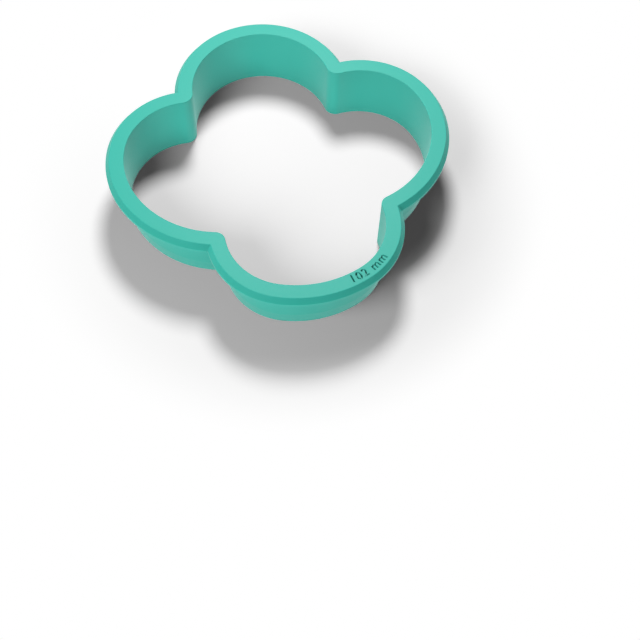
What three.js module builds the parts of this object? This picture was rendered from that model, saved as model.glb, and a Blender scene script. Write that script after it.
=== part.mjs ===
import * as THREE from 'three';

// Cookie cutter with a four-lobed outline, open right through from the grip rim to the cutting
// edge. Millimetres, +Z up. It stands on its cutting edge, with the origin under the middle of
// the outline, the single round lobe at the back (+Y) and the two wings along X.

// The cut: the outline of the wall's inner face, which is the outline of the cut dough
const cutLength = 101.6;
const cutWidth = 100.8;

// Back lobe, one round arc
const backLobeRadius = 23.2;

// Wings: an upper, an end and a lower arc that run into each other without a corner.
// The turns are the directions, in degrees from +X, in which one arc hands over to the next.
const wingRise = 3.9;
const wingUpperRadius = 21.2;
const wingEndRadius = 27.8;
const wingLowerRadius = 31.6;
const wingUpperTurn = 17.8;
const wingLowerTurn = -19.1;

// Front lobe: a flat front arc between two tighter side arcs
const frontLobeRadius = 34.1;
const frontSideRadius = 19.9;
const frontTurn = -68.2;

// Notches between the lobes, rounded on the inside. Outside they close to a crease.
const backNotchRadius = 3.85;
const frontNotchRadius = 3.25;
const creaseRadius = 0.3;

// Heights
const cutterHeight = 21.2;
const edgeHeight = 5;

// Rim: a flat top that the palm presses on, a steep chamfer, and an upright land below it
const rimTopWidth = 4.7;
const rimChamferWidth = 1.3;
const rimChamferDrop = 1.9;
const rimLand = 1.1;

// Wall, and the tip that it tapers to on its outer side
const wallThickness = 1.2;
const tipThickness = 0.7;

// Largest distance of a facet from the true arc
const facetDeviation = 0.02;

// Finish of the print
const plasticColour = 0x58c7b7;
const plasticRoughness = 0.45;

const backLobeCentre = new THREE.Vector2(0, cutLength / 2 - backLobeRadius);
const frontLobeCentre = new THREE.Vector2(0, frontLobeRadius - cutLength / 2);
const wingEndCentre = new THREE.Vector2(cutWidth / 2 - wingEndRadius, wingRise);

function direction(degrees) {
  const angle = THREE.MathUtils.degToRad(degrees);
  return new THREE.Vector2(Math.cos(angle), Math.sin(angle));
}

// Centre of an arc that meets another arc without a corner, in the given direction from both
function tangentCentre(centre, radius, nextRadius, degrees) {
  return centre.clone().addScaledVector(direction(degrees), radius - nextRadius);
}

const wingUpperCentre = tangentCentre(wingEndCentre, wingEndRadius, wingUpperRadius, wingUpperTurn);
const wingLowerCentre = tangentCentre(wingEndCentre, wingEndRadius, wingLowerRadius, wingLowerTurn);
const frontSideCentre = tangentCentre(frontLobeCentre, frontLobeRadius, frontSideRadius, frontTurn);

// Centre of the fillet in the notch between two lobes, on the outer side of both
function notchCentre(first, firstReach, second, secondReach) {
  const between = second.clone().sub(first);
  const distance = between.length();
  const along = (distance ** 2 + firstReach ** 2 - secondReach ** 2) / (2 * distance);
  const aside = Math.sqrt(firstReach ** 2 - along ** 2);
  between.normalize();
  const outward = new THREE.Vector2(-between.y, between.x);
  return first.clone().addScaledVector(between, along).addScaledVector(outward, aside);
}

function bearing(from, to) {
  return Math.atan2(to.y - from.y, to.x - from.x);
}

function convexArc(centre, radius, start, end) {
  return new THREE.EllipseCurve(centre.x, centre.y, radius, radius, start, end, true);
}

function concaveArc(centre, radius, start, end) {
  return new THREE.EllipseCurve(centre.x, centre.y, radius, radius, start, end, false);
}

// Arcs of the right half of the outline from the back to the front, moved outwards by an offset
function halfOutline(offset) {
  const backFillet = Math.max(backNotchRadius - offset, creaseRadius);
  const frontFillet = Math.max(frontNotchRadius - offset, creaseRadius);
  const backLobe = backLobeRadius + offset;
  const wingUpper = wingUpperRadius + offset;
  const wingEnd = wingEndRadius + offset;
  const wingLower = wingLowerRadius + offset;
  const frontSide = frontSideRadius + offset;
  const frontLobe = frontLobeRadius + offset;
  const backNotch = notchCentre(
    backLobeCentre, backLobe + backFillet, wingUpperCentre, wingUpper + backFillet,
  );
  const frontNotch = notchCentre(
    wingLowerCentre, wingLower + frontFillet, frontSideCentre, frontSide + frontFillet,
  );
  const upperTurn = THREE.MathUtils.degToRad(wingUpperTurn);
  const lowerTurn = THREE.MathUtils.degToRad(wingLowerTurn);
  const sideTurn = THREE.MathUtils.degToRad(frontTurn);
  return [
    convexArc(backLobeCentre, backLobe, Math.PI / 2, bearing(backLobeCentre, backNotch)),
    concaveArc(
      backNotch, backFillet,
      bearing(backNotch, backLobeCentre), bearing(backNotch, wingUpperCentre),
    ),
    convexArc(wingUpperCentre, wingUpper, bearing(wingUpperCentre, backNotch), upperTurn),
    convexArc(wingEndCentre, wingEnd, upperTurn, lowerTurn),
    convexArc(wingLowerCentre, wingLower, lowerTurn, bearing(wingLowerCentre, frontNotch)),
    concaveArc(
      frontNotch, frontFillet,
      bearing(frontNotch, wingLowerCentre), bearing(frontNotch, frontSideCentre),
    ),
    convexArc(frontSideCentre, frontSide, bearing(frontSideCentre, frontNotch), sideTurn),
    convexArc(frontLobeCentre, frontLobe, sideTurn, -Math.PI / 2),
  ];
}

// Facets on each arc, counted once on the cut, so that every offset has matching points
const facetCounts = halfOutline(0).map((arc) => {
  const facetAngle = 2 * Math.acos(1 - facetDeviation / arc.xRadius);
  return Math.max(2, Math.ceil(arc.getLength() / (arc.xRadius * facetAngle)));
});

// The closed outline at an offset, anticlockwise seen from above
function outline(offset) {
  const right = [];
  halfOutline(offset).forEach((arc, index) => {
    const points = arc.getPoints(facetCounts[index]);
    right.push(...(index === 0 ? points : points.slice(1)));
  });
  right[0].x = 0;
  right[right.length - 1].x = 0;
  const left = right.slice(1, -1).map((point) => new THREE.Vector2(-point.x, point.y));
  return [...left, ...right.reverse()];
}

// Loft a closed band round the outline. The section lists [offset, height] pairs,
// anticlockwise with the offset to the right and the height upwards.
function band(section) {
  const rings = section.map(([offset]) => outline(offset));
  const count = rings[0].length;
  const positions = [];
  rings.forEach((ring, level) => {
    ring.forEach((point) => positions.push(point.x, point.y, section[level][1]));
  });
  const triangles = [];
  for (let level = 0; level < rings.length; level += 1) {
    const here = level * count;
    const above = ((level + 1) % rings.length) * count;
    for (let step = 0; step < count; step += 1) {
      const next = (step + 1) % count;
      triangles.push(here + step, here + next, above + next);
      triangles.push(here + step, above + next, above + step);
    }
  }
  const geometry = new THREE.BufferGeometry();
  geometry.setAttribute('position', new THREE.Float32BufferAttribute(positions, 3));
  geometry.setIndex(triangles);
  geometry.computeVertexNormals();
  return geometry;
}

function plasticPiece(name, section) {
  const material = new THREE.MeshStandardMaterial({
    color: plasticColour,
    roughness: plasticRoughness,
    metalness: 0,
    flatShading: true,
  });
  const mesh = new THREE.Mesh(band(section), material);
  mesh.name = name;
  return mesh;
}

const rimReach = rimTopWidth + rimChamferWidth;
const rimUnderside = cutterHeight - rimChamferDrop - rimLand;

const cutter = new THREE.Group();

// Cutting edge: straight inside, tapered outside to a narrow blunt tip
cutter.add(plasticPiece('cutting_edge', [
  [0, 0],
  [tipThickness, 0],
  [wallThickness, edgeHeight],
  [0, edgeHeight],
]));

// Wall: an even band between the cutting edge and the rim
cutter.add(plasticPiece('cutter_wall', [
  [0, edgeHeight],
  [wallThickness, edgeHeight],
  [wallThickness, rimUnderside],
  [0, rimUnderside],
]));

// Grip rim: flush with the wall inside, and a wide chamfered flange outside
cutter.add(plasticPiece('grip_rim', [
  [0, rimUnderside],
  [rimReach, rimUnderside],
  [rimReach, rimUnderside + rimLand],
  [rimTopWidth, cutterHeight],
  [0, cutterHeight],
]));

export default cutter;
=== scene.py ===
import math

import bpy
from mathutils import Matrix, Vector


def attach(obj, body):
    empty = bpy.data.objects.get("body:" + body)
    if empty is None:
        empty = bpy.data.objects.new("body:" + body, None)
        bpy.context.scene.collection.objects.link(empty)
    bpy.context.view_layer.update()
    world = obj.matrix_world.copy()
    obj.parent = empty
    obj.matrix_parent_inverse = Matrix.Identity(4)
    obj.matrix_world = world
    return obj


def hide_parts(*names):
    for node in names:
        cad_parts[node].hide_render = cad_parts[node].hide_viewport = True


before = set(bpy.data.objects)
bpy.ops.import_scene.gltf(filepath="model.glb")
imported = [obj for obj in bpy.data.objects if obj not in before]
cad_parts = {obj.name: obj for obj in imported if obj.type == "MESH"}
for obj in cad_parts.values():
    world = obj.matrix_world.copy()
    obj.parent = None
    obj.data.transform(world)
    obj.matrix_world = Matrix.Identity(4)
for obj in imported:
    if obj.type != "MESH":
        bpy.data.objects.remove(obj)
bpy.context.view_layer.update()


# Cutting edge: the lowest band of the cutter, of teal plastic printed in one go with the wall.
# It goes through the dough. Its inner face is upright, so that the cut has the true outline,
# and its outer face tapers to a blunt tip.
MM = 0.001
EDGE_HEIGHT = 5.0
TIP_THICKNESS = 0.7
WALL_THICKNESS = 1.2
TIP_ROUNDING = 0.12


def bearing(origin, target):
    return math.atan2(target.y - origin.y, target.x - origin.x)


def tangent_centre(centre, radius, next_radius, turn):
    # An arc that runs on from another without a corner has its centre on the same radius line
    return centre + (radius - next_radius) * Vector((math.cos(turn), math.sin(turn)))


def notch_centre(first, first_reach, second, second_reach):
    # The fillet's centre lies on the outer side of both lobes
    between = second - first
    distance = between.length
    along = (distance**2 + first_reach**2 - second_reach**2) / (2 * distance)
    aside = math.sqrt(first_reach**2 - along**2)
    between.normalize()
    return first + along * between + aside * Vector((-between.y, between.x))


def arc_points(centre, radius, start, end, clockwise, steps):
    sweep = (end - start) % math.tau
    if clockwise:
        sweep -= math.tau
    angles = [start + sweep * step / steps for step in range(steps)]
    return [centre + radius * Vector((math.cos(a), math.sin(a))) for a in angles]


def cut_outline(offset):
    """The four-lobed outline, in mm, moved outwards by an offset, anticlockwise from the front."""
    cut_length, cut_width = 101.6, 100.8
    back_radius, front_radius, side_radius = 23.2, 34.1, 19.9
    upper_radius, end_radius, lower_radius = 21.2, 27.8, 31.6
    upper_turn, lower_turn, side_turn = (math.radians(d) for d in (17.8, -19.1, -68.2))
    back_notch_radius, front_notch_radius, crease_radius = 3.85, 3.25, 0.3
    wing_rise = 3.9
    back_steps, upper_steps, end_steps, lower_steps = 56, 56, 28, 40
    side_steps, front_steps, notch_steps = 40, 20, 18

    back = Vector((0, cut_length / 2 - back_radius))
    front = Vector((0, front_radius - cut_length / 2))
    end = Vector((cut_width / 2 - end_radius, wing_rise))
    upper = tangent_centre(end, end_radius, upper_radius, upper_turn)
    lower = tangent_centre(end, end_radius, lower_radius, lower_turn)
    side = tangent_centre(front, front_radius, side_radius, side_turn)

    # Lobes grow with the offset, and notches shrink until they are a crease
    back_fillet = max(back_notch_radius - offset, crease_radius)
    front_fillet = max(front_notch_radius - offset, crease_radius)
    back_radius += offset
    upper_radius += offset
    end_radius += offset
    lower_radius += offset
    side_radius += offset
    front_radius += offset
    back_notch = notch_centre(back, back_radius + back_fillet, upper, upper_radius + back_fillet)
    front_notch = notch_centre(lower, lower_radius + front_fillet, side, side_radius + front_fillet)

    # The right half, from the back to the front
    half = []
    half += arc_points(back, back_radius, math.pi / 2, bearing(back, back_notch), True, back_steps)
    half += arc_points(
        back_notch,
        back_fillet,
        bearing(back_notch, back),
        bearing(back_notch, upper),
        False,
        notch_steps,
    )
    half += arc_points(
        upper, upper_radius, bearing(upper, back_notch), upper_turn, True, upper_steps
    )
    half += arc_points(end, end_radius, upper_turn, lower_turn, True, end_steps)
    half += arc_points(
        lower, lower_radius, lower_turn, bearing(lower, front_notch), True, lower_steps
    )
    half += arc_points(
        front_notch,
        front_fillet,
        bearing(front_notch, lower),
        bearing(front_notch, side),
        False,
        notch_steps,
    )
    half += arc_points(side, side_radius, bearing(side, front_notch), side_turn, True, side_steps)
    half += arc_points(front, front_radius, side_turn, -math.pi / 2, True, front_steps)
    half.append(Vector((0, front.y - front_radius)))
    mirrored = [Vector((-p.x, p.y)) for p in half[1:-1]]
    return half[::-1] + mirrored


def rounded_section(corners, steps=4, support=0.06):
    """Points of a section from (offset, height, rounding) corners, and their share of a bend."""
    points = []
    for index, (offset, height, rounding) in enumerate(corners):
        corner = Vector((offset, height))
        if rounding == 0:
            points.append((corner, 0.0))
            continue
        before = Vector(corners[index - 1][:2]) - corner
        after = Vector(corners[(index + 1) % len(corners)][:2]) - corner
        before.normalize()
        after.normalize()
        half_angle = before.angle(after) / 2
        reach = rounding / math.tan(half_angle)
        middle = (before + after).normalized()
        centre = corner + middle * (rounding / math.sin(half_angle))
        first = corner + before * reach - centre
        turn = first.angle_signed(corner + after * reach - centre)
        # A support point on either side of the rounding keeps the faces beside it flat
        points.append((corner + before * (reach + support), 0.0))
        for step in range(steps + 1):
            share = step / steps
            spoke = Matrix.Rotation(-turn * share, 2) @ first
            points.append((centre + spoke, math.sin(math.pi * share)))
        points.append((corner + after * (reach + support), 0.0))
    return points


def ring_mesh(name, corners):
    """A mesh of loose rings, one for each point of the section, for the loft to join."""
    section = rounded_section(corners)
    places, bends = [], []
    for point, bend in section:
        ring = cut_outline(point.x)
        places += [(p.x * MM, p.y * MM, point.y * MM) for p in ring]
        bends += [bend] * len(ring)
    mesh = bpy.data.meshes.new(name)
    mesh.from_pydata(places, [], [])
    mesh.attributes.new("bend", "FLOAT", "POINT").data.foreach_set("value", bends)
    piece = bpy.data.objects.new(name, mesh)
    bpy.context.scene.collection.objects.link(piece)
    return piece, len(section), len(places) // len(section)


def add_input(tree, name, kind):
    return tree.interface.new_socket(name, in_out="INPUT", socket_type=kind)


def add_output(tree, name, kind):
    return tree.interface.new_socket(name, in_out="OUTPUT", socket_type=kind)


def shape_tree(name, inputs):
    """An empty Geometry Nodes tree, and the identifiers that its named inputs are set by."""
    tree = bpy.data.node_groups.new(name, "GeometryNodeTree")
    add_output(tree, "Geometry", "NodeSocketGeometry")
    add_input(tree, "Geometry", "NodeSocketGeometry")
    return tree, {key: add_input(tree, key, kind).identifier for key, kind in inputs}


def add_shape(piece, tree, identifiers, values):
    shape = piece.modifiers.new(tree.name, "NODES")
    shape.node_group = tree
    for key, value in values.items():
        shape[identifiers[key]] = value


def node(tree, kind, **settings):
    made = tree.nodes.new(kind)
    for key, value in settings.items():
        setattr(made, key, value)
    return made


def feed(tree, sockets, values):
    # An output of another node is linked to its socket, and a plain value is set on it
    for socket, value in zip(sockets, values):
        if isinstance(value, bpy.types.NodeSocket):
            tree.links.new(value, socket)
        else:
            socket.default_value = value


def whole(tree, operation, *values):
    made = node(tree, "FunctionNodeIntegerMath", operation=operation)
    feed(tree, made.inputs, values)
    return made.outputs[0]


CRISP_ANGLE = math.radians(40)


def crisp_edges(tree, geometry):
    # Smooth shading that stops at every edge bent by more than the angle
    angle = node(tree, "GeometryNodeInputMeshEdgeAngle")
    over = node(tree, "FunctionNodeCompare", data_type="FLOAT", operation="GREATER_THAN")
    feed(tree, over.inputs, (angle.outputs["Unsigned Angle"], CRISP_ANGLE))
    smooth = node(tree, "GeometryNodeSetShadeSmooth", domain="FACE")
    tree.links.new(geometry, smooth.inputs["Geometry"])
    sharp = node(tree, "GeometryNodeStoreNamedAttribute", data_type="BOOLEAN", domain="EDGE")
    sharp.inputs["Name"].default_value = "sharp_edge"
    tree.links.new(smooth.outputs["Geometry"], sharp.inputs["Geometry"])
    tree.links.new(over.outputs[0], sharp.inputs["Value"])
    return sharp.outputs["Geometry"]


def finish_tree(tree, geometry, material):
    realize = node(tree, "GeometryNodeRealizeInstances")
    coat = node(tree, "GeometryNodeSetMaterial")
    out = node(tree, "NodeGroupOutput")
    tree.links.new(geometry, realize.inputs["Geometry"])
    tree.links.new(realize.outputs["Geometry"], coat.inputs["Geometry"])
    tree.links.new(material, coat.inputs["Material"])
    tree.links.new(coat.outputs["Geometry"], out.inputs["Geometry"])


loft_tree, LOFT_INPUTS = shape_tree(
    "ring_loft",
    (
        ("Rings", "NodeSocketInt"),
        ("Steps Round", "NodeSocketInt"),
        ("Material", "NodeSocketMaterial"),
    ),
)
SEAM_GAP = 1e-6


def fill_loft_tree(tree):
    # A sheet one row and one column larger than the rings, wrapped both ways and merged
    given = node(tree, "NodeGroupInput")
    rings = given.outputs["Rings"]
    steps = given.outputs["Steps Round"]
    columns = whole(tree, "ADD", steps, 1)
    sheet = node(tree, "GeometryNodeMeshGrid")
    tree.links.new(whole(tree, "ADD", rings, 1), sheet.inputs["Vertices X"])
    tree.links.new(columns, sheet.inputs["Vertices Y"])
    index = node(tree, "GeometryNodeInputIndex").outputs[0]
    ring = whole(tree, "MODULO", whole(tree, "DIVIDE_FLOOR", index, columns), rings)
    step = whole(tree, "MODULO", whole(tree, "MODULO", index, columns), steps)
    source = whole(tree, "MULTIPLY_ADD", ring, steps, step)

    place = node(tree, "GeometryNodeSampleIndex", data_type="FLOAT_VECTOR", domain="POINT")
    tree.links.new(given.outputs["Geometry"], place.inputs["Geometry"])
    tree.links.new(node(tree, "GeometryNodeInputPosition").outputs[0], place.inputs["Value"])
    tree.links.new(source, place.inputs["Index"])
    moved = node(tree, "GeometryNodeSetPosition")
    tree.links.new(sheet.outputs["Mesh"], moved.inputs["Geometry"])
    tree.links.new(place.outputs["Value"], moved.inputs["Position"])

    stored = node(tree, "GeometryNodeInputNamedAttribute", data_type="FLOAT")
    stored.inputs["Name"].default_value = "bend"
    bend = node(tree, "GeometryNodeSampleIndex", data_type="FLOAT", domain="POINT")
    tree.links.new(given.outputs["Geometry"], bend.inputs["Geometry"])
    tree.links.new(stored.outputs["Attribute"], bend.inputs["Value"])
    tree.links.new(source, bend.inputs["Index"])
    kept = node(tree, "GeometryNodeStoreNamedAttribute", data_type="FLOAT", domain="POINT")
    kept.inputs["Name"].default_value = "bend"
    tree.links.new(moved.outputs["Geometry"], kept.inputs["Geometry"])
    tree.links.new(bend.outputs["Value"], kept.inputs["Value"])

    closed = node(tree, "GeometryNodeMergeByDistance")
    closed.inputs["Distance"].default_value = SEAM_GAP
    tree.links.new(kept.outputs["Geometry"], closed.inputs["Geometry"])
    outward = node(tree, "GeometryNodeFlipFaces")
    tree.links.new(closed.outputs["Geometry"], outward.inputs["Mesh"])
    crisp = crisp_edges(tree, outward.outputs["Mesh"])
    finish_tree(tree, crisp, given.outputs["Material"])


fill_loft_tree(loft_tree)


def add_loft(piece, rings, steps, material):
    values = {"Rings": rings, "Steps Round": steps, "Material": material}
    add_shape(piece, loft_tree, LOFT_INPUTS, values)


def bake_modifiers(piece):
    # The finished mesh takes the place of the rings, and no modifier is left
    bpy.context.view_layer.update()
    depsgraph = bpy.context.evaluated_depsgraph_get()
    finished = bpy.data.meshes.new_from_object(piece.evaluated_get(depsgraph))
    material = next(m for m in finished.materials if m)
    finished.materials.clear()
    finished.materials.append(material)
    finished.polygons.foreach_set("material_index", [0] * len(finished.polygons))
    piece.modifiers.clear()
    piece.data = finished


def shader_group(name, inputs, outputs):
    group = bpy.data.node_groups.new(name, "ShaderNodeTree")
    for key, kind in inputs:
        add_input(group, key, kind)
    for key, kind in outputs:
        add_output(group, key, kind)
    return group, node(group, "NodeGroupInput"), node(group, "NodeGroupOutput")


def set_inputs(made, **values):
    for key, value in values.items():
        made.inputs[key.replace("_", " ")].default_value = value


def number(tree, operation, *values):
    made = node(tree, "ShaderNodeMath", operation=operation)
    feed(tree, made.inputs, values)
    return made.outputs[0]


# Fine uneven gloss and tint of a satin print
satin_group, satin_in, satin_out = shader_group(
    "satin_drift",
    (("Vector", "NodeSocketVector"), ("Grain Scale", "NodeSocketFloat")),
    (("Drift", "NodeSocketFloat"), ("Grain", "NodeSocketFloat")),
)
drift = node(satin_group, "ShaderNodeTexNoise")
set_inputs(drift, Scale=28.0, Detail=3.0, Roughness=0.55)
grain = node(satin_group, "ShaderNodeTexNoise")
set_inputs(grain, Detail=2.0, Roughness=0.6)
satin_group.links.new(satin_in.outputs["Vector"], drift.inputs["Vector"])
satin_group.links.new(satin_in.outputs["Vector"], grain.inputs["Vector"])
satin_group.links.new(satin_in.outputs["Grain Scale"], grain.inputs["Scale"])
satin_group.links.new(drift.outputs["Fac"], satin_out.inputs["Drift"])
satin_group.links.new(grain.outputs["Fac"], satin_out.inputs["Grain"])

# Lines of the printed layers, one soft ridge for each layer, with a little waver
layer_group, layer_in, layer_out = shader_group(
    "print_layers",
    (("Vector", "NodeSocketVector"), ("Layers per Metre", "NodeSocketFloat")),
    (("Ridge", "NodeSocketFloat"),),
)
waver = node(layer_group, "ShaderNodeTexNoise")
set_inputs(waver, Scale=60.0, Detail=1.0)
height = node(layer_group, "ShaderNodeSeparateXYZ")
layer_group.links.new(layer_in.outputs["Vector"], waver.inputs["Vector"])
layer_group.links.new(layer_in.outputs["Vector"], height.inputs["Vector"])
phase = number(
    layer_group,
    "MULTIPLY_ADD",
    height.outputs["Z"],
    layer_in.outputs["Layers per Metre"],
    waver.outputs["Fac"],
)
wave = number(layer_group, "SINE", number(layer_group, "MULTIPLY", phase, math.tau))
ridge = number(layer_group, "MULTIPLY_ADD", wave, 0.5, 0.5)
layer_group.links.new(ridge, layer_out.inputs["Ridge"])


def mix_colour(tree, factor, first, second):
    made = node(tree, "ShaderNodeMix", data_type="RGBA")
    # The node's other sockets are for numbers and vectors
    feed(tree, (made.inputs[0], made.inputs[6], made.inputs[7]), (factor, first, second))
    return made.outputs[2]


PLASTIC_COLOUR = (0.053, 0.628, 0.508, 1)
PLASTIC_DEEP = (0.047, 0.600, 0.482, 1)
PLASTIC_WORN = (0.088, 0.678, 0.560, 1)
PLASTIC_SPECULAR = 0.2
PLASTIC_ROUGHNESS = 0.42
ROUGHNESS_SPREAD = 0.12
RUBBED_SHARE = 0.5
GRAIN_SCALE = 900.0
GRAIN_DEPTH = 0.003
LAYERS_PER_METRE = 5000.0
EDGE_LAYER_DEPTH = 0.004


def printed_plastic(name, layer_depth):
    """Satin printed plastic: pigment that drifts a little, paler rubbed bends and fine layers."""
    material = bpy.data.materials.new(name)
    material.use_nodes = True
    tree = material.node_tree
    shader = tree.nodes["Principled BSDF"]
    shader.inputs["Specular IOR Level"].default_value = PLASTIC_SPECULAR
    place = node(tree, "ShaderNodeTexCoord")
    satin = node(tree, "ShaderNodeGroup", node_tree=satin_group)
    feed(tree, satin.inputs, (place.outputs["Object"], GRAIN_SCALE))
    layers = node(tree, "ShaderNodeGroup", node_tree=layer_group)
    feed(tree, layers.inputs, (place.outputs["Object"], LAYERS_PER_METRE))

    bend = node(tree, "ShaderNodeAttribute", attribute_name="bend")
    rubbing = number(tree, "MULTIPLY", bend.outputs["Fac"], RUBBED_SHARE)
    tinted = mix_colour(tree, satin.outputs["Drift"], PLASTIC_DEEP, PLASTIC_COLOUR)
    rubbed = mix_colour(tree, rubbing, tinted, PLASTIC_WORN)
    tree.links.new(rubbed, shader.inputs["Base Color"])
    smoothest = PLASTIC_ROUGHNESS - ROUGHNESS_SPREAD / 2
    uneven = number(tree, "MULTIPLY_ADD", satin.outputs["Grain"], ROUGHNESS_SPREAD, smoothest)
    tree.links.new(uneven, shader.inputs["Roughness"])

    fine = node(tree, "ShaderNodeBump")
    fine.inputs["Distance"].default_value = GRAIN_DEPTH * MM
    tree.links.new(satin.outputs["Grain"], fine.inputs["Height"])
    lines = node(tree, "ShaderNodeBump")
    lines.inputs["Distance"].default_value = layer_depth * MM
    tree.links.new(layers.outputs["Ridge"], lines.inputs["Height"])
    tree.links.new(fine.outputs["Normal"], lines.inputs["Normal"])
    tree.links.new(lines.outputs["Normal"], shader.inputs["Normal"])
    return material


edge_plastic = printed_plastic("edge_plastic", EDGE_LAYER_DEPTH)
cutting_edge, edge_rings, edge_steps = ring_mesh(
    "cutting_edge_fine",
    [
        (0, 0, TIP_ROUNDING),
        (TIP_THICKNESS, 0, TIP_ROUNDING),
        (WALL_THICKNESS, EDGE_HEIGHT, 0),
        (0, EDGE_HEIGHT, 0),
    ],
)
add_loft(cutting_edge, edge_rings, edge_steps, edge_plastic)
bake_modifiers(cutting_edge)
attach(cutting_edge, "root")
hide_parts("cutting_edge")


# Wall: the even upright band between the cutting edge and the rim, of the same plastic.
# It is printed in one go with both, so it meets them without a step.
CUTTER_HEIGHT = 21.2
RIM_CHAMFER_DROP = 1.9
RIM_LAND = 1.1
RIM_UNDERSIDE = CUTTER_HEIGHT - RIM_CHAMFER_DROP - RIM_LAND
WALL_LAYER_DEPTH = 0.004

wall_plastic = printed_plastic("wall_plastic", WALL_LAYER_DEPTH)
cutter_wall, wall_rings, wall_steps = ring_mesh(
    "cutter_wall_fine",
    [
        (0, EDGE_HEIGHT, 0),
        (WALL_THICKNESS, EDGE_HEIGHT, 0),
        (WALL_THICKNESS, RIM_UNDERSIDE, 0),
        (0, RIM_UNDERSIDE, 0),
    ],
)
add_loft(cutter_wall, wall_rings, wall_steps, wall_plastic)
bake_modifiers(cutter_wall)
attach(cutter_wall, "root")
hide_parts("cutter_wall")


# Grip rim: the wide flange that the palm presses on, of the same plastic, printed in one go with
# the wall and flush with it inside. Its outer edge is chamfered, and its flat top carries the
# size of the cut, sunk into the plastic.
RIM_TOP_WIDTH = 4.7
RIM_CHAMFER_WIDTH = 1.3
RIM_REACH = RIM_TOP_WIDTH + RIM_CHAMFER_WIDTH
RIM_ROUNDING = 0.2
RIM_LAYER_DEPTH = 0.003

rim_plastic = printed_plastic("rim_plastic", RIM_LAYER_DEPTH)
grip_rim, rim_rings, rim_steps = ring_mesh(
    "grip_rim_fine",
    [
        (0, RIM_UNDERSIDE, 0),
        (RIM_REACH, RIM_UNDERSIDE, RIM_ROUNDING),
        (RIM_REACH, RIM_UNDERSIDE + RIM_LAND, RIM_ROUNDING),
        (RIM_TOP_WIDTH, CUTTER_HEIGHT, RIM_ROUNDING),
        (0, CUTTER_HEIGHT, RIM_ROUNDING),
    ],
)
add_loft(grip_rim, rim_rings, rim_steps, rim_plastic)

MARK_TEXT = "102 mm"
MARK_SIZE = 4.0
MARK_SPACING = 1.12
MARK_STROKE_GAIN = 0.1
MARK_STROKE_SLANT = 0.7
MARK_DEPTH = 0.9
MARK_PATH_CENTRE = (5.27, -29.88)
MARK_PATH_RADIUS = 22.34
MARK_TURN = -64.5
MARK_SEAM_GAP = 1e-7

mark_tree, MARK_INPUTS = shape_tree(
    "sunk_size_mark",
    (
        ("Text", "NodeSocketString"),
        ("Letter Size", "NodeSocketFloat"),
        ("Letter Spacing", "NodeSocketFloat"),
        ("Stroke Gain", "NodeSocketFloat"),
        ("Depth", "NodeSocketFloat"),
        ("Path Centre", "NodeSocketVector"),
        ("Path Radius", "NodeSocketFloat"),
        ("Middle Turn", "NodeSocketFloat"),
        ("Material", "NodeSocketMaterial"),
    ),
)


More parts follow.
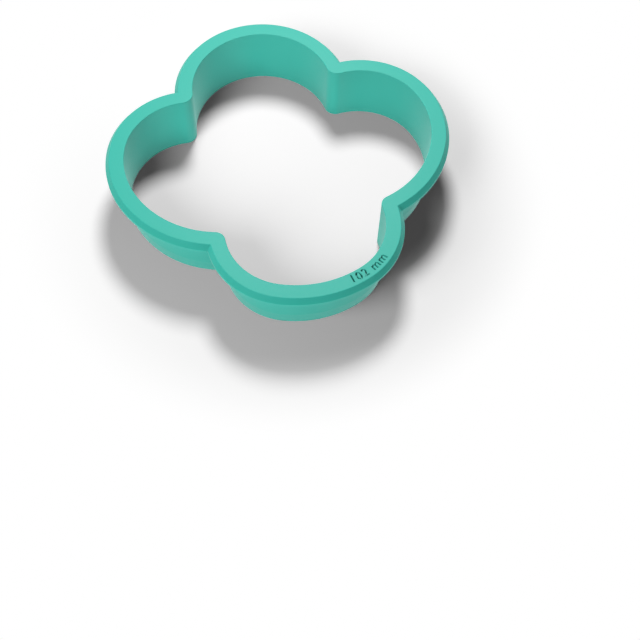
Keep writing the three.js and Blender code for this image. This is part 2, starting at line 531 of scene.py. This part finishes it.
def fill_mark_tree(tree):
    given = node(tree, "NodeGroupInput")
    words = node(tree, "GeometryNodeStringToCurves", align_x="CENTER", align_y="MIDDLE")
    tree.links.new(given.outputs["Text"], words.inputs["String"])
    tree.links.new(given.outputs["Letter Size"], words.inputs["Size"])
    tree.links.new(given.outputs["Letter Spacing"], words.inputs["Character Spacing"])
    letters = node(tree, "GeometryNodeRealizeInstances")
    tree.links.new(words.outputs["Curve Instances"], letters.inputs["Geometry"])
    filled = node(tree, "GeometryNodeFillCurve", mode="NGONS")
    tree.links.new(letters.outputs["Geometry"], filled.inputs["Curve"])

    # Two copies set a little apart, on a slant across the letters, make every stroke bolder
    faces = node(tree, "GeometryNodeJoinGeometry")
    for side in (1, -1):
        apart = node(tree, "ShaderNodeVectorMath", operation="SCALE")
        apart.inputs[0].default_value = (side, -MARK_STROKE_SLANT * side, 0)
        tree.links.new(given.outputs["Stroke Gain"], apart.inputs["Scale"])
        bold = node(tree, "GeometryNodeSetPosition")
        tree.links.new(filled.outputs["Mesh"], bold.inputs["Geometry"])
        tree.links.new(apart.outputs["Vector"], bold.inputs["Offset"])
        tree.links.new(bold.outputs["Geometry"], faces.inputs["Geometry"])

    # Closed letter blocks twice as tall as the mark is deep, so that they stand out of the top
    block_height = number(tree, "MULTIPLY", given.outputs["Depth"], 2.0)
    raised = node(tree, "GeometryNodeExtrudeMesh", mode="FACES")
    raised.inputs["Individual"].default_value = False
    tree.links.new(faces.outputs["Geometry"], raised.inputs["Mesh"])
    tree.links.new(block_height, raised.inputs["Offset Scale"])
    bottoms = node(tree, "GeometryNodeFlipFaces")
    tree.links.new(faces.outputs["Geometry"], bottoms.inputs["Mesh"])
    both = node(tree, "GeometryNodeJoinGeometry")
    tree.links.new(bottoms.outputs["Mesh"], both.inputs["Geometry"])
    tree.links.new(raised.outputs["Mesh"], both.inputs["Geometry"])
    blocks = node(tree, "GeometryNodeMergeByDistance")
    blocks.inputs["Distance"].default_value = MARK_SEAM_GAP
    tree.links.new(both.outputs["Geometry"], blocks.inputs["Geometry"])
    whole_blocks = node(tree, "GeometryNodeMeshBoolean", operation="UNION", solver="EXACT")
    whole_blocks.inputs["Self Intersection"].default_value = True
    tree.links.new(blocks.outputs["Geometry"], whole_blocks.inputs["Mesh 2"])

    # Bend the line of letters round the rim, with their tops towards the opening
    flat = node(tree, "ShaderNodeSeparateXYZ")
    tree.links.new(node(tree, "GeometryNodeInputPosition").outputs[0], flat.inputs[0])
    turn = number(tree, "DIVIDE", flat.outputs["X"], given.outputs["Path Radius"])
    turn = number(tree, "ADD", turn, given.outputs["Middle Turn"])
    reach = number(tree, "SUBTRACT", given.outputs["Path Radius"], flat.outputs["Y"])
    across = number(tree, "MULTIPLY", reach, number(tree, "COSINE", turn))
    along = number(tree, "MULTIPLY", reach, number(tree, "SINE", turn))
    lift = number(tree, "SUBTRACT", flat.outputs["Z"], given.outputs["Depth"])
    spoke = node(tree, "ShaderNodeCombineXYZ")
    feed(tree, spoke.inputs, (across, along, lift))
    place = node(tree, "ShaderNodeVectorMath", operation="ADD")
    feed(tree, place.inputs, (spoke.outputs["Vector"], given.outputs["Path Centre"]))
    bent = node(tree, "GeometryNodeSetPosition")
    tree.links.new(whole_blocks.outputs["Mesh"], bent.inputs["Geometry"])
    tree.links.new(place.outputs["Vector"], bent.inputs["Position"])

    sunk = node(tree, "GeometryNodeMeshBoolean", operation="DIFFERENCE", solver="EXACT")
    tree.links.new(given.outputs["Geometry"], sunk.inputs["Mesh 1"])
    tree.links.new(bent.outputs["Geometry"], sunk.inputs["Mesh 2"])
    crisp = crisp_edges(tree, sunk.outputs["Mesh"])
    finish_tree(tree, crisp, given.outputs["Material"])


fill_mark_tree(mark_tree)
add_shape(
    grip_rim,
    mark_tree,
    MARK_INPUTS,
    {
        "Text": MARK_TEXT,
        "Letter Size": MARK_SIZE * MM,
        "Letter Spacing": MARK_SPACING,
        "Stroke Gain": MARK_STROKE_GAIN * MM,
        "Depth": MARK_DEPTH * MM,
        "Path Centre": [v * MM for v in (*MARK_PATH_CENTRE, CUTTER_HEIGHT)],
        "Path Radius": MARK_PATH_RADIUS * MM,
        "Middle Turn": math.radians(MARK_TURN),
        "Material": rim_plastic,
    },
)
bake_modifiers(grip_rim)
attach(grip_rim, "root")
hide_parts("grip_rim")


# Studio: a plain white floor that keeps the shadow, soft lamps, and the camera at the height
# and angle of the photograph.
FLOOR_SIZE = 4.0
FLOOR_GAIN = 1.19
FLOOR_FADE_START = 0.062
FLOOR_FADE_END = 0.091
WHITE = (1, 1, 1, 1)

bpy.ops.mesh.primitive_plane_add(size=FLOOR_SIZE)
floor = bpy.context.object
floor.name = "studio_floor"
floor_paint = bpy.data.materials.new("floor_paint")
floor_paint.use_nodes = True
floor_tree = floor_paint.node_tree
floor_shader = floor_tree.nodes["Principled BSDF"]
floor_shader.inputs["Roughness"].default_value = 0.9
floor_shader.inputs["Specular IOR Level"].default_value = 0.0


def seen_ray(tree):
    # 1 for a ray that shows the studio to the camera, straight, in gloss or through glass
    view = node(tree, "ShaderNodeLightPath")
    seen = number(tree, "MAXIMUM", view.outputs["Is Camera Ray"], view.outputs["Is Glossy Ray"])
    return number(tree, "MAXIMUM", seen, view.outputs["Is Transmission Ray"])


floor_seen = seen_ray(floor_tree)
floor_colour = mix_colour(floor_tree, floor_seen, WHITE, (FLOOR_GAIN, FLOOR_GAIN, FLOOR_GAIN, 1))
floor_tree.links.new(floor_colour, floor_shader.inputs["Base Color"])

# Over the last of the cutter's shadow the floor runs out into the white of the backdrop
floor_place = node(floor_tree, "ShaderNodeTexCoord")
floor_reach = node(floor_tree, "ShaderNodeVectorMath", operation="LENGTH")
floor_fade = node(floor_tree, "ShaderNodeMapRange", interpolation_type="SMOOTHSTEP")
set_inputs(floor_fade, From_Min=FLOOR_FADE_START, From_Max=FLOOR_FADE_END)
floor_tree.links.new(floor_place.outputs["Object"], floor_reach.inputs[0])
floor_tree.links.new(floor_reach.outputs["Value"], floor_fade.inputs["Value"])
floor_whitened = number(floor_tree, "MULTIPLY", floor_fade.outputs["Result"], floor_seen)
floor_white = node(floor_tree, "ShaderNodeEmission")
floor_mix = node(floor_tree, "ShaderNodeMixShader")
floor_tree.links.new(floor_whitened, floor_mix.inputs["Fac"])
floor_tree.links.new(floor_shader.outputs["BSDF"], floor_mix.inputs[1])
floor_tree.links.new(floor_white.outputs["Emission"], floor_mix.inputs[2])
floor_paint.cycles.emission_sampling = "NONE"

# From below the floor is clear, so that the cutting edge and the rim's underside can be seen
floor_side = node(floor_tree, "ShaderNodeNewGeometry")
floor_clear = node(floor_tree, "ShaderNodeBsdfTransparent")
floor_sides = node(floor_tree, "ShaderNodeMixShader")
floor_surface = floor_tree.nodes["Material Output"].inputs["Surface"]
floor_tree.links.new(floor_side.outputs["Backfacing"], floor_sides.inputs["Fac"])
floor_tree.links.new(floor_mix.outputs["Shader"], floor_sides.inputs[1])
floor_tree.links.new(floor_clear.outputs["BSDF"], floor_sides.inputs[2])
floor_tree.links.new(floor_sides.outputs["Shader"], floor_surface)
floor.data.materials.append(floor_paint)


def soft_lamp(name, azimuth, elevation, distance, size, level):
    # The level is the light on a face turned to the lamp, where 1 shows a colour as it is written
    lamp = bpy.data.lights.new(name, "AREA")
    lamp.shape = "DISK"
    lamp.size = size
    lamp.energy = level * (math.pi * distance) ** 2
    stand = bpy.data.objects.new(name, lamp)
    across = distance * math.cos(math.radians(elevation))
    stand.location = (
        across * math.sin(math.radians(azimuth)),
        across * math.cos(math.radians(azimuth)),
        distance * math.sin(math.radians(elevation)),
    )
    stand.rotation_euler = (-stand.location).to_track_quat("-Z", "Y").to_euler()
    bpy.context.scene.collection.objects.link(stand)
    return stand


# Two near lamps, whose light fans out, so that the shadows spread away from the cutter's middle
soft_lamp("key_lamp", azimuth=16, elevation=57, distance=0.45, size=0.135, level=0.625)
soft_lamp("side_lamp", azimuth=236, elevation=38, distance=0.5, size=0.30, level=0.425)

# The pieces throw no colour on the floor, so that it keeps a plain grey shadow
for piece in (cutting_edge, cutter_wall, grip_rim):
    piece.visible_diffuse = False

# Lamps below the floor, which lets their light through, stand for the light that a wide white
# table throws back on the cutter. Gloss passes the floor too, and shows the white backdrop.
floor.visible_shadow = False
floor.visible_glossy = False
for table_lamp in (
    soft_lamp("table_left", azimuth=215, elevation=-30, distance=2.0, size=1.6, level=0.09),
    soft_lamp("table_right", azimuth=150, elevation=-28, distance=2.0, size=1.6, level=0.21),
):
    table_lamp.data.cycles.use_multiple_importance_sampling = False

# The air is white where it is seen, and lights the cutter only a little
AIR_LEVEL = 0.04

world = bpy.data.worlds.new("studio_air")
bpy.context.scene.world = world
world.use_nodes = True
air_tree = world.node_tree
air = air_tree.nodes["Background"]
air.inputs["Color"].default_value = WHITE
air_strength = number(air_tree, "MAXIMUM", seen_ray(air_tree), AIR_LEVEL)
air_tree.links.new(air_strength, air.inputs["Strength"])

camera_data = bpy.data.cameras.new("photo_camera")
camera_data.sensor_width = 36
camera_data.lens = 63.791
camera = bpy.data.objects.new("photo_camera", camera_data)
camera.location = (-0.05329, -0.21969, 0.31314)
camera.rotation_euler = [math.radians(a) for a in (29.283, -1.364, -14.954)]
bpy.context.scene.collection.objects.link(camera)
bpy.context.scene.camera = camera
bpy.context.scene.view_settings.view_transform = "Standard"
